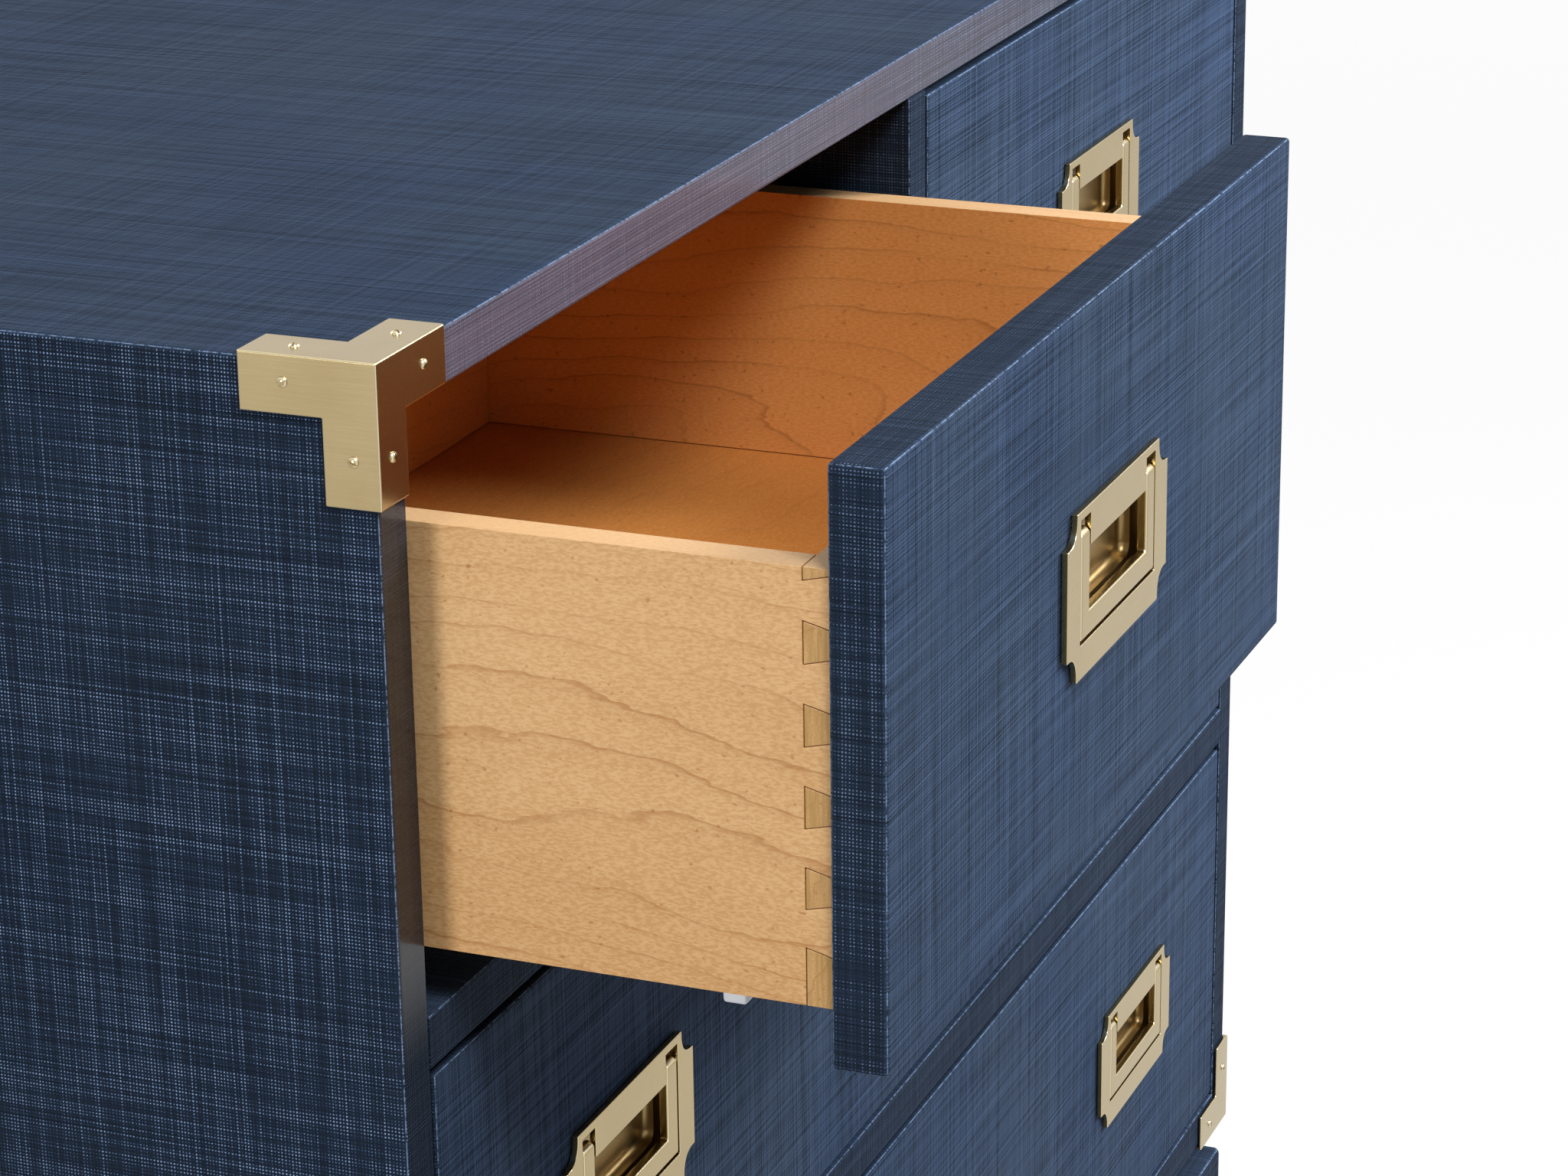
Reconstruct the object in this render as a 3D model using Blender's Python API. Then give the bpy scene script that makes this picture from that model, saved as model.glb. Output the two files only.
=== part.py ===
"""Campaign chest: linen-wrapped case on a plinth, four drawers, flush brass pulls, brass corners.

Metres, +Z up, +X to the right of someone facing the chest, front towards -Y.
The origin is on the floor, in the middle of the plinth, under its centre stretcher.
The upper left drawer is modelled pulled out by OPEN_AT_REST; the others are shut.
"""

import math

import bmesh
import bpy
from mathutils import Matrix, Vector

# Clearances: between pieces that touch, and round the drawer fronts
FIT = 0.0003
DRAWER_GAP = 0.003

# Case
CASE_WIDTH = 1.016
CASE_DEPTH = 0.480
TOP_THICK = 0.020
SIDE_THICK = 0.020
BOTTOM_THICK = 0.020
SHELF_THICK = 0.020
BACK_THICK = 0.012
DIVIDER_THICK = 0.020
DIVIDER_DEPTH = 0.060
TOP_ROW = 0.216
MIDDLE_ROW = 0.216
BOTTOM_ROW = 0.216
EDGE_ROUND = 0.0015

# Brass corners
CORNER_LEG = 0.048
CORNER_LAP = 0.0005
CORNER_THICK = 0.002
CORNER_ROUND = 0.0006

# Plinth, with a set-back waist that leaves a shadow gap under the case
PLINTH_HEIGHT = 0.062
WAIST_HEIGHT = 0.022
WAIST_CLEAR = 0.0035
WAIST_THICK = 0.022
STRETCHER_WIDTH = 0.060
PLINTH_ROUND = 0.003

# Drawers
FRONT_THICK = 0.020
FRONT_ROUND = 0.002
BOX_LIFT = 0.023
BOX_HEAD_ROOM = 0.040
BOX_REAR_ROOM = 0.0985
BOX_SIDE_GAP = 0.007
BOX_SIDE_THICK = 0.013
BOX_FRONT_THICK = 0.010
BOX_BACK_THICK = 0.012
BOX_BOTTOM_THICK = 0.012
BOTTOM_RECESS = 0.0252
GROOVE_DEPTH = 0.005
OPEN_AT_REST = 0.166

# Dovetails at the front corners of the drawer boxes; a tip is a pin's narrow end
PIN_TIP = 0.0103
TOP_PIN_TIP = 0.0025
TAIL_NECK = 0.0132
FOOT_PIN = 0.0148
PIN_ANGLE = math.radians(14)

# Runners under the drawers
RUNNER_FLANGE = 0.0022
RUNNER_WALL_GAP = 0.0005
RUNNER_TRACK_WIDTH = 0.018
RUNNER_TRACK_GAP = 0.003
RUNNER_SETBACK = 0.004
RUNNER_TAIL_SETBACK = 0.006

# Pulls: the bail, its pivots, the plate round it and the pan behind
BAIL_WIDTH = 0.088
BAIL_HEIGHT = 0.0416
BAIL_ARM = 0.0095
BAIL_BAR = 0.0095
BAIL_THICK = 0.0042
BAIL_CORNER = 0.0024
BAIL_EDGE = 0.0006
BAIL_GAP = 0.0012
PIVOT_RADIUS = 0.0011
PIVOT_COVER = 0.0004
PIVOT_BELOW_TOP = 0.0026
PIVOT_ENGAGE = 0.0008
PIVOT_SIDES = 12
PLATE_THICK = 0.003
PLATE_HEAD = 0.0035
PLATE_FOOT = 0.013
PLATE_RIM = 0.0009
PLATE_SCOOP = 0.0095
PLATE_STEP = 0.0014
PLATE_EDGE = 0.0005
SCOOP_SEGMENTS = 6
ARM_ROOM = 0.0047
TONGUE_HEIGHT = 0.0123
PAN_DEPTH = 0.009
PAN_WALL = 0.003
PAN_HEAD_WALL = 0.0015
PAN_FLOOR = 0.0015
LOWER_PULL_INSET = 0.180

# Angles that decide which edges are eased and which faces count as one plane
EASE_ANGLE = math.radians(40)
FLAT_ANGLE = math.radians(0.5)
QUARTER_TURN = math.pi / 2

# Case and plinth places
HALF_WIDTH = CASE_WIDTH / 2
INNER_HALF = HALF_WIDTH - SIDE_THICK
FRONT_Y = -CASE_DEPTH / 2
BACK_Y = CASE_DEPTH / 2
BACK_FACE_Y = BACK_Y - BACK_THICK
CASE_BASE = PLINTH_HEIGHT + WAIST_HEIGHT + FIT
FLOOR_BOTTOM = CASE_BASE + BOTTOM_THICK
FLOOR_MIDDLE = FLOOR_BOTTOM + BOTTOM_ROW + SHELF_THICK
FLOOR_TOP = FLOOR_MIDDLE + MIDDLE_ROW + SHELF_THICK
CEILING = FLOOR_TOP + TOP_ROW
CASE_TOP = CEILING + TOP_THICK
CORNER_WIDTH = min(SIDE_THICK, TOP_THICK, BOTTOM_THICK) + CORNER_LAP
WAIST_INSET = CORNER_WIDTH + WAIST_CLEAR

# Drawer box places, measured from the drawer's face and from the box's lower edge
BOX_Y = FRONT_THICK + FIT
BOX_LENGTH = BACK_FACE_Y - FRONT_Y - BOX_Y - BOX_REAR_ROOM
PIN_LEAN = BOX_FRONT_THICK * math.tan(PIN_ANGLE)
PIN_WIDTH = PIN_TIP + 2 * PIN_LEAN
TOP_HALF_PIN = TOP_PIN_TIP + PIN_LEAN
GROOVE = (BOTTOM_RECESS - FIT, BOTTOM_RECESS + BOX_BOTTOM_THICK + FIT)

# Pull places, measured from the plate's centre and from the drawer's face
CHANNEL_HALF = BAIL_WIDTH / 2 + BAIL_GAP
TONGUE_HALF = BAIL_WIDTH / 2 - BAIL_ARM - BAIL_GAP
PAN_HALF = CHANNEL_HALF + PAN_WALL
PLATE_WIDTH = 2 * (PAN_HALF + PLATE_RIM + PLATE_SCOOP + PLATE_STEP)
PLATE_HEIGHT = PLATE_FOOT + BAIL_GAP + BAIL_HEIGHT + ARM_ROOM + PLATE_HEAD
CHANNEL_FOOT = PLATE_FOOT - PLATE_HEIGHT / 2
BAIL_FOOT = CHANNEL_FOOT + BAIL_GAP
BAIL_TOP = BAIL_FOOT + BAIL_HEIGHT
CHANNEL_TOP = BAIL_TOP + ARM_ROOM
POCKET_TOP = CHANNEL_TOP - TONGUE_HEIGHT
PAN_FOOT = CHANNEL_FOOT - PAN_WALL
PAN_TOP = CHANNEL_TOP + PAN_HEAD_WALL
PAN_BACK = PAN_DEPTH + PAN_FLOOR
PIVOT_Z = BAIL_TOP - PIVOT_BELOW_TOP
PIVOT_BEHIND_FACE = PIVOT_COVER + FIT + PIVOT_RADIUS
PIVOT_Y = PIVOT_BEHIND_FACE - PLATE_THICK
PIVOT_REACH = CHANNEL_HALF + PIVOT_ENGAGE


# Materials, objects and meshes


def clear_scene():
    for old in list(bpy.data.objects):
        bpy.data.objects.remove(old, do_unlink=True)


def finish_material(name, colour, roughness, metallic):
    made = bpy.data.materials.new(name)
    made.use_nodes = True
    shader = made.node_tree.nodes["Principled BSDF"]
    shader.inputs["Base Color"].default_value = (*colour, 1)
    shader.inputs["Roughness"].default_value = roughness
    shader.inputs["Metallic"].default_value = metallic
    return made


def link_object(name, mesh, parent=None, location=(0, 0, 0)):
    """An object in the scene; with no mesh it is an empty."""
    made = bpy.data.objects.new(name, mesh)
    bpy.context.scene.collection.objects.link(made)
    made.parent = parent
    made.location = location
    return made


def place_piece(name, mesh, material, parent=None, location=(0, 0, 0)):
    if not mesh.materials:
        mesh.materials.append(material)
    return link_object(name, mesh, parent, location)


def mesh_from(mesh_data, name):
    made = bpy.data.meshes.new(name)
    mesh_data.to_mesh(made)
    mesh_data.free()
    return made


def box_mesh(name, low, high):
    low = Vector(low)
    high = Vector(high)
    mesh_data = bmesh.new()
    place = Matrix.LocRotScale((low + high) / 2, None, high - low)
    bmesh.ops.create_cube(mesh_data, size=1, matrix=place)
    return mesh_from(mesh_data, name)


def lattice_mesh(name, xs, ys, zs, filled, point=None):
    """A solid made of the filled cells of a grid; point() may lean a grid corner."""
    mesh_data = bmesh.new()
    corners = {}

    def corner(i, j, k):
        if (i, j, k) not in corners:
            place = (xs[i], ys[j], zs[k])
            corners[i, j, k] = mesh_data.verts.new(point(i, j, k, place) if point else place)
        return corners[i, j, k]

    cells = {
        (i, j, k)
        for i in range(len(xs) - 1)
        for j in range(len(ys) - 1)
        for k in range(len(zs) - 1)
        if filled(i, j, k)
    }
    sides = (
        ((-1, 0, 0), ((0, 0, 0), (0, 0, 1), (0, 1, 1), (0, 1, 0))),
        ((1, 0, 0), ((1, 0, 0), (1, 1, 0), (1, 1, 1), (1, 0, 1))),
        ((0, -1, 0), ((0, 0, 0), (1, 0, 0), (1, 0, 1), (0, 0, 1))),
        ((0, 1, 0), ((0, 1, 0), (0, 1, 1), (1, 1, 1), (1, 1, 0))),
        ((0, 0, -1), ((0, 0, 0), (0, 1, 0), (1, 1, 0), (1, 0, 0))),
        ((0, 0, 1), ((0, 0, 1), (1, 0, 1), (1, 1, 1), (0, 1, 1))),
    )
    for i, j, k in sorted(cells):
        for (di, dj, dk), loop in sides:
            if (i + di, j + dj, k + dk) not in cells:
                mesh_data.faces.new([corner(i + a, j + b, k + c) for a, b, c in loop])
    bmesh.ops.dissolve_limit(
        mesh_data, angle_limit=FLAT_ANGLE, verts=mesh_data.verts, edges=mesh_data.edges
    )
    return mesh_from(mesh_data, name)


def prism_mesh(name, outline, y_front, y_back, ease):
    """A flat outline of (x, z) points, given a thickness along Y, with its front edge eased."""
    mesh_data = bmesh.new()
    front = mesh_data.faces.new([mesh_data.verts.new((x, y_front, z)) for x, z in outline])
    rim = list(front.edges)
    grown = bmesh.ops.extrude_face_region(mesh_data, geom=[front], use_keep_orig=True)
    for item in grown["geom"]:
        if isinstance(item, bmesh.types.BMVert):
            item.co.y = y_back
    bmesh.ops.recalc_face_normals(mesh_data, faces=mesh_data.faces)
    bmesh.ops.bevel(
        mesh_data, geom=rim, offset=ease, segments=1, affect="EDGES", clamp_overlap=True
    )
    return mesh_from(mesh_data, name)


def round_edges(piece, width, segments=2):
    bevel = piece.modifiers.new("eased edges", "BEVEL")
    bevel.width = width
    bevel.segments = segments
    bevel.limit_method = "ANGLE"
    bevel.angle_limit = EASE_ANGLE


def add_boolean(piece, operation, name, mesh, parent=None, location=(0, 0, 0)):
    """Joins a mesh to the piece, or cuts it out; the helper object that holds it is returned."""
    helper = link_object(name, mesh, parent, location)
    helper.hide_render = True
    helper.display_type = "WIRE"
    boolean = piece.modifiers.new(name, "BOOLEAN")
    boolean.operation = operation
    boolean.object = helper
    boolean.solver = "EXACT"
    return helper


def baked_mesh(piece, name, helpers):
    """The piece's shape with its modifiers applied, after which it and its helpers go."""
    bpy.context.view_layer.update()
    graph = bpy.context.evaluated_depsgraph_get()
    made = bpy.data.meshes.new_from_object(piece.evaluated_get(graph))
    made.name = name
    for done in (piece, *helpers):
        bpy.data.objects.remove(done, do_unlink=True)
    return made


# Case


def build_case(linen, inside):
    side_low = FLOOR_BOTTOM + FIT
    side_high = CEILING - FIT
    panels = {
        "case_top": ((-HALF_WIDTH, FRONT_Y, CEILING), (HALF_WIDTH, BACK_Y, CASE_TOP)),
        "case_bottom": ((-HALF_WIDTH, FRONT_Y, CASE_BASE), (HALF_WIDTH, BACK_Y, FLOOR_BOTTOM)),
        "case_left_side": ((-HALF_WIDTH, FRONT_Y, side_low), (-INNER_HALF, BACK_Y, side_high)),
        "case_right_side": ((INNER_HALF, FRONT_Y, side_low), (HALF_WIDTH, BACK_Y, side_high)),
        "top_divider": (
            (-DIVIDER_THICK / 2, FRONT_Y, FLOOR_TOP + FIT),
            (DIVIDER_THICK / 2, FRONT_Y + DIVIDER_DEPTH, side_high),
        ),
    }
    for name, floor in (("upper_shelf", FLOOR_TOP), ("lower_shelf", FLOOR_MIDDLE)):
        panels[name] = (
            (-INNER_HALF + FIT, FRONT_Y, floor - SHELF_THICK),
            (INNER_HALF - FIT, BACK_FACE_Y - FIT, floor),
        )
    for name, (low, high) in panels.items():
        piece = place_piece(name, box_mesh(name, low, high), linen)
        round_edges(piece, EDGE_ROUND)
    low = (-INNER_HALF + FIT, BACK_FACE_Y, side_low)
    high = (INNER_HALF - FIT, BACK_Y, side_high)
    place_piece("case_back", box_mesh("case_back", low, high), inside)


def build_plinth(linen):
    waist_out = HALF_WIDTH - WAIST_INSET
    waist_back = BACK_Y - WAIST_INSET
    right = (STRETCHER_WIDTH / 2, waist_out - WAIST_THICK, waist_out, HALF_WIDTH)
    rear = (waist_back - WAIST_THICK, waist_back, BACK_Y)
    xs = [-x for x in reversed(right)] + list(right)
    ys = [-y for y in reversed(rear)] + list(rear)
    zs = (0, PLINTH_HEIGHT, PLINTH_HEIGHT + WAIST_HEIGHT)
    last_x = len(xs) - 2
    last_y = len(ys) - 2

    def filled(i, j, k):
        from_rim = min(i, last_x - i, j, last_y - j)
        on_stretcher = i == last_x // 2
        if k == 0:
            return from_rim <= 1 or on_stretcher
        return from_rim == 1 or (on_stretcher and from_rim > 0)

    mesh = lattice_mesh("plinth_frame", xs, ys, zs, filled)
    round_edges(place_piece("plinth_frame", mesh, linen), PLINTH_ROUND)


def corner_mesh(name, edges, turns):
    """A three-way corner: an L on each of the three faces that meet at edges.

    turns gives, for each axis, the direction from the corner into the case.
    """
    steps = (-FIT - CORNER_THICK, -FIT, CORNER_WIDTH, CORNER_LEG)
    axes = [sorted(edge + turn * step for step in steps) for edge, turn in zip(edges, turns)]
    last = len(steps) - 2

    def filled(*cell):
        nearest, middle, _ = sorted(c if turn > 0 else last - c for c, turn in zip(cell, turns))
        return nearest == 0 and middle <= 1

    return lattice_mesh(name, *axes, filled)


def build_corners(brass):
    for level, z, up in (("top", CASE_TOP, -1), ("bottom", CASE_BASE, 1)):
        for depth, y, back in (("front", FRONT_Y, 1), ("rear", BACK_Y, -1)):
            for side, x, right in (("left", -HALF_WIDTH, 1), ("right", HALF_WIDTH, -1)):
                name = f"corner_{level}_{depth}_{side}"
                mesh = corner_mesh(name, (x, y, z), (right, back, up))
                round_edges(place_piece(name, mesh, brass), CORNER_ROUND, 1)


# Drawer boxes


def pin_spans(height):
    """Depths below the top of a box at which each pin starts and ends, on the joint line."""
    spans = [(0, TOP_HALF_PIN)]
    start = TOP_HALF_PIN + TAIL_NECK
    while start + PIN_WIDTH + TAIL_NECK + FOOT_PIN <= height:
        spans.append((start, start + PIN_WIDTH))
        start += PIN_WIDTH + TAIL_NECK
    spans.append((start, height))
    return spans


def joint_levels(height, shrink):
    """Heights of the joint's cuts above the box's lower edge, the lean of each, and the pins.

    shrink makes the pins a little smaller than the sockets that they fit. The edges of the
    groove lean between the cuts beside them, so that no two levels cross.
    """
    leans = {0: 0, height: 0}
    pins = []
    for top, foot in pin_spans(height):
        high = height
        low = 0
        if top > 0:
            high = height - top - shrink
            leans[high] = -PIN_LEAN
        if foot < height:
            low = height - foot + shrink
            leans[low] = PIN_LEAN
        pins.append((low, high))
    cuts = sorted(leans)
    for edge in GROOVE:
        below = max(cut for cut in cuts if cut <= edge)
        above = min(cut for cut in cuts if cut > edge)
        share = (edge - below) / (above - below)
        leans[edge] = leans[below] + share * (leans[above] - leans[below])
    levels = sorted(leans)
    return levels, [leans[level] for level in levels], pins


def in_span(levels, k, spans):
    middle = (levels[k] + levels[k + 1]) / 2
    return any(low < middle < high for low, high in spans)


def box_side_mesh(name, height, into):
    """A drawer side with tails at its front end and a groove for the bottom.

    Its outer face is at x = 0, and into is the direction from there into the box.
    """
    levels, leans, pins = joint_levels(height, 0)
    xs = sorted((0, into * (BOX_SIDE_THICK - GROOVE_DEPTH), into * BOX_SIDE_THICK))
    groove_layer = 1 if into > 0 else 0
    ys = (0, BOX_FRONT_THICK, BOX_LENGTH)

    def filled(i, j, k):
        if j == 0:
            return not in_span(levels, k, pins)
        return not (i == groove_layer and in_span(levels, k, [GROOVE]))

    def point(i, j, k, place):
        return (place[0], place[1], place[2] + (leans[k] if j == 0 else 0))

    return lattice_mesh(name, xs, ys, levels, filled, point)


def box_front_mesh(name, height, half_inner, half_outer):
    """The board behind the applied front: pins at both ends, a groove along its back."""
    levels, leans, pins = joint_levels(height, FIT)
    xs = (-half_outer, -half_inner + FIT, half_inner - FIT, half_outer)
    ys = (0, BOX_FRONT_THICK - GROOVE_DEPTH, BOX_FRONT_THICK - FIT)

    def filled(i, j, k):
        if i != 1:
            return in_span(levels, k, pins)
        return not (j == 1 and in_span(levels, k, [GROOVE]))

    def point(i, j, k, place):
        share = 1 - place[1] / BOX_FRONT_THICK
        if j > 0 and levels[k] in GROOVE:
            share = 0
        return (place[0], place[1], place[2] + leans[k] * share)

    return lattice_mesh(name, xs, ys, levels, filled, point)


def build_box(drawer, body, half_outer, height, maple):
    """The dovetailed box behind a drawer's front."""
    half_inner = half_outer - BOX_SIDE_THICK
    corner = (0, BOX_Y, BOX_LIFT)
    for side, into in (("left", 1), ("right", -1)):
        name = f"{drawer}_{side}_side"
        place = (-into * half_outer, BOX_Y, BOX_LIFT)
        place_piece(name, box_side_mesh(name, height, into), maple, body, place)
    name = f"{drawer}_box_front"
    place_piece(name, box_front_mesh(name, height, half_inner, half_outer), maple, body, corner)

    shoulder = half_inner - FIT
    tongue = half_inner + GROOVE_DEPTH - FIT
    bottom_high = BOTTOM_RECESS + BOX_BOTTOM_THICK
    name = f"{drawer}_bottom"
    bottom_mesh = lattice_mesh(
        name,
        (-tongue, -shoulder, shoulder, tongue),
        (BOX_FRONT_THICK - GROOVE_DEPTH + FIT, BOX_FRONT_THICK + FIT, BOX_LENGTH),
        (BOTTOM_RECESS, bottom_high),
        lambda i, j, k: j == 1 or i == 1,
    )
    place_piece(name, bottom_mesh, maple, body, corner)

    name = f"{drawer}_back"
    low = (-shoulder, BOX_LENGTH - BOX_BACK_THICK, bottom_high + FIT)
    high = (shoulder, BOX_LENGTH, height)
    place_piece(name, box_mesh(name, low, high), maple, body, corner)


# Runners


def runner_mesh(name, walls):
    """A steel runner: a flange on the floor and, beside each wall that it serves, a track.

    walls lists (wall x, direction into the opening). The runner between two drawers
    has a track for each of them, and starts behind the divider.
    """
    reach = BOX_SIDE_GAP + BOX_SIDE_THICK + RUNNER_TRACK_GAP
    xs = []
    tracks = []
    for wall, into in walls:
        near = wall + into * reach
        far = near + into * RUNNER_TRACK_WIDTH
        tracks.append(sorted((near, far)))
        xs += [wall + into * RUNNER_WALL_GAP, near, far]
    xs.sort()
    y_start = FRONT_Y + BOX_Y + BOX_FRONT_THICK + RUNNER_SETBACK
    y_end = FRONT_Y + BOX_Y + BOX_LENGTH - RUNNER_TAIL_SETBACK
    if len(walls) > 1:
        y_start = max(y_start, FRONT_Y + DIVIDER_DEPTH + FIT)
    zs = (FIT, RUNNER_FLANGE, BOX_LIFT + BOTTOM_RECESS - FIT)

    def filled(i, j, k):
        return k == 0 or in_span(xs, i, tracks)

    return lattice_mesh(name, xs, (y_start, y_end), zs, filled)


def build_runners(steel):
    half_divider = DIVIDER_THICK / 2
    left_wall = (-INNER_HALF, 1)
    right_wall = (INNER_HALF, -1)
    runners = {
        "runner_top_left": (FLOOR_TOP, [left_wall]),
        "runner_top_centre": (FLOOR_TOP, [(-half_divider, -1), (half_divider, 1)]),
        "runner_top_right": (FLOOR_TOP, [right_wall]),
        "runner_middle_left": (FLOOR_MIDDLE, [left_wall]),
        "runner_middle_right": (FLOOR_MIDDLE, [right_wall]),
        "runner_bottom_left": (FLOOR_BOTTOM, [left_wall]),
        "runner_bottom_right": (FLOOR_BOTTOM, [right_wall]),
    }
    for name, (floor, walls) in runners.items():
        place_piece(name, runner_mesh(name, walls), steel, location=(0, 0, floor))


# Pulls


def polar(angle, length):
    return Vector((math.cos(angle), math.sin(angle))) * length


def plate_outline():
    """A rectangle with a scooped quarter circle and two small steps at each corner."""
    points = []
    for turn, (side, level) in enumerate(((1, 1), (-1, 1), (-1, -1), (1, -1))):
        start = turn * QUARTER_TURN
        centre_x = side * (PLATE_WIDTH / 2 - PLATE_STEP)
        centre_z = level * (PLATE_HEIGHT / 2 - PLATE_STEP)
        arc = []
        for step in range(SCOOP_SEGMENTS + 1):
            angle = start + QUARTER_TURN * (3 - step / SCOOP_SEGMENTS)
            arc.append(Vector((centre_x, centre_z)) + polar(angle, PLATE_SCOOP))
        first = arc[0] + polar(start, PLATE_STEP)
        last = arc[-1] + polar(start + QUARTER_TURN, PLATE_STEP)
        points += [first, *arc, last]
    return points


def pivot_mesh(name, radius, x_from, x_to):
    """A round pin along X, centred on the pivot line."""
    mesh_data = bmesh.new()
    turned = Matrix.Rotation(QUARTER_TURN, 4, "Y")
    bmesh.ops.create_cone(
        mesh_data,
        cap_ends=True,
        segments=PIVOT_SIDES,
        radius1=radius,
        radius2=radius,
        depth=abs(x_to - x_from),
        matrix=Matrix.Translation(((x_from + x_to) / 2, 0, 0)) @ turned,
    )
    return mesh_from(mesh_data, name)


def make_plate_mesh():
    """The plate and the pan behind it, with the U-shaped recess that the bail lies in.

    The origin is on the drawer's face, at the plate's centre.
    """
    plate = link_object("plate", prism_mesh("plate", plate_outline(), -PLATE_THICK, -FIT, PLATE_EDGE))
    pan_mesh = box_mesh(
        "pan", (-PAN_HALF, -PLATE_THICK / 2, PAN_FOOT), (PAN_HALF, PAN_BACK, PAN_TOP)
    )
    recess_mesh = lattice_mesh(
        "recess",
        (-CHANNEL_HALF, -TONGUE_HALF, TONGUE_HALF, CHANNEL_HALF),
        (-2 * PLATE_THICK, PAN_DEPTH),
        (CHANNEL_FOOT, POCKET_TOP, CHANNEL_TOP),
        lambda i, j, k: k == 0 or i != 1,
    )
    helpers = [
        add_boolean(plate, "UNION", "pan", pan_mesh),
        add_boolean(plate, "DIFFERENCE", "recess", recess_mesh),
    ]
    for turn in (-1, 1):
        hole_mesh = pivot_mesh(
            "pivot_hole", PIVOT_RADIUS + FIT, turn * BAIL_WIDTH / 2, turn * (PIVOT_REACH + FIT)
        )
        place = (0, PIVOT_Y, PIVOT_Z)
        helpers.append(add_boolean(plate, "DIFFERENCE", "pivot_hole", hole_mesh, location=place))
    return baked_mesh(plate, "pull_plate", helpers)


def make_bail_mesh():
    """The U-shaped bail with a pivot pin on the outside of each arm. The origin is on its pivot."""
    half = BAIL_WIDTH / 2
    inner = half - BAIL_ARM
    top = PIVOT_BELOW_TOP
    foot = top - BAIL_HEIGHT
    bar_top = foot + BAIL_BAR
    outline = [
        (-half, top),
        (-half, foot + BAIL_CORNER),
        (-half + BAIL_CORNER, foot),
        (half - BAIL_CORNER, foot),
        (half, foot + BAIL_CORNER),
        (half, top),
        (inner, top),
        (inner, bar_top),
        (-inner, bar_top),
        (-inner, top),
    ]
    face_y = -PIVOT_BEHIND_FACE
    bail = link_object("bail", prism_mesh("bail", outline, face_y, face_y + BAIL_THICK, BAIL_EDGE))
    helpers = []
    for turn in (-1, 1):
        inside_arm = turn * (half - BAIL_ARM / 2)
        pin_mesh = pivot_mesh("pivot_pin", PIVOT_RADIUS, inside_arm, turn * PIVOT_REACH)
        helpers.append(add_boolean(bail, "UNION", "pivot_pin", pin_mesh))
    return baked_mesh(bail, "pull_bail", helpers)


def build_pull(name, front, body, x, z, pull_meshes, brass):
    """A pull at (x, z) on a drawer front, let into a mortise, with its bail on a pivot."""
    plate_mesh, bail_mesh = pull_meshes
    mortise_mesh = box_mesh(
        f"{name}_mortise",
        (-PAN_HALF - FIT, -FRONT_THICK, PAN_FOOT - FIT),
        (PAN_HALF + FIT, PAN_BACK + FIT, PAN_TOP + FIT),
    )
    add_boolean(front, "DIFFERENCE", f"{name}_mortise", mortise_mesh, body, (x, 0, z))
    place_piece(f"pull_plate_{name}", plate_mesh, brass, body, (x, 0, z))
    hinge = link_object(f"{name}_hinge", None, body, (x, PIVOT_Y, z + PIVOT_Z))
    place_piece(f"pull_bail_{name}", bail_mesh, brass, hinge)


# Whole chest


def build_drawer(name, low_x, high_x, floor, row, pulled, pull_places, finishes, pull_meshes):
    """A drawer in an opening from low_x to high_x above floor, pulled out by the given length."""
    half_opening = (high_x - low_x) / 2
    body = link_object(f"{name}_slide", None, None, ((low_x + high_x) / 2, FRONT_Y - pulled, floor))
    front_half = half_opening - DRAWER_GAP
    front_mesh = box_mesh(
        f"{name}_front", (-front_half, 0, DRAWER_GAP), (front_half, FRONT_THICK, row - DRAWER_GAP)
    )
    front = place_piece(f"{name}_front", front_mesh, finishes["linen"], body)
    round_edges(front, FRONT_ROUND)
    for pull_name, x in pull_places:
        build_pull(pull_name, front, body, x, row / 2, pull_meshes, finishes["brass"])
    box_height = row - BOX_LIFT - BOX_HEAD_ROOM
    build_box(name, body, half_opening - BOX_SIDE_GAP, box_height, finishes["maple"])


def build_drawers(finishes):
    pull_meshes = (make_plate_mesh(), make_bail_mesh())
    half_divider = DIVIDER_THICK / 2
    top_row = (
        ("top_left", -INNER_HALF, -half_divider, OPEN_AT_REST),
        ("top_right", half_divider, INNER_HALF, 0),
    )
    for name, low_x, high_x, pulled in top_row:
        places = [(name, 0)]
        build_drawer(
            name, low_x, high_x, FLOOR_TOP, TOP_ROW, pulled, places, finishes, pull_meshes
        )
    pull_x = HALF_WIDTH - LOWER_PULL_INSET
    lower_rows = (("middle", FLOOR_MIDDLE, MIDDLE_ROW), ("bottom", FLOOR_BOTTOM, BOTTOM_ROW))
    for name, floor, row in lower_rows:
        places = [(f"{name}_left", -pull_x), (f"{name}_right", pull_x)]
        build_drawer(
            name, -INNER_HALF, INNER_HALF, floor, row, 0, places, finishes, pull_meshes
        )


def build_chest():
    clear_scene()
    finishes = {
        "linen": finish_material("navy_linen", (0.045, 0.062, 0.105), 0.42, 0),
        "inside": finish_material("dark_navy_board", (0.016, 0.02, 0.034), 0.6, 0),
        "brass": finish_material("satin_brass", (0.62, 0.5, 0.3), 0.34, 1),
        "steel": finish_material("zinc_steel", (0.62, 0.64, 0.66), 0.35, 1),
        "maple": finish_material("maple", (0.62, 0.4, 0.21), 0.45, 0),
    }
    build_case(finishes["linen"], finishes["inside"])
    build_plinth(finishes["linen"])
    build_corners(finishes["brass"])
    build_runners(finishes["steel"])
    build_drawers(finishes)


build_chest()
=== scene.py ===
import bmesh
import bpy
import math
import random
from mathutils import Matrix, Vector


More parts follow.
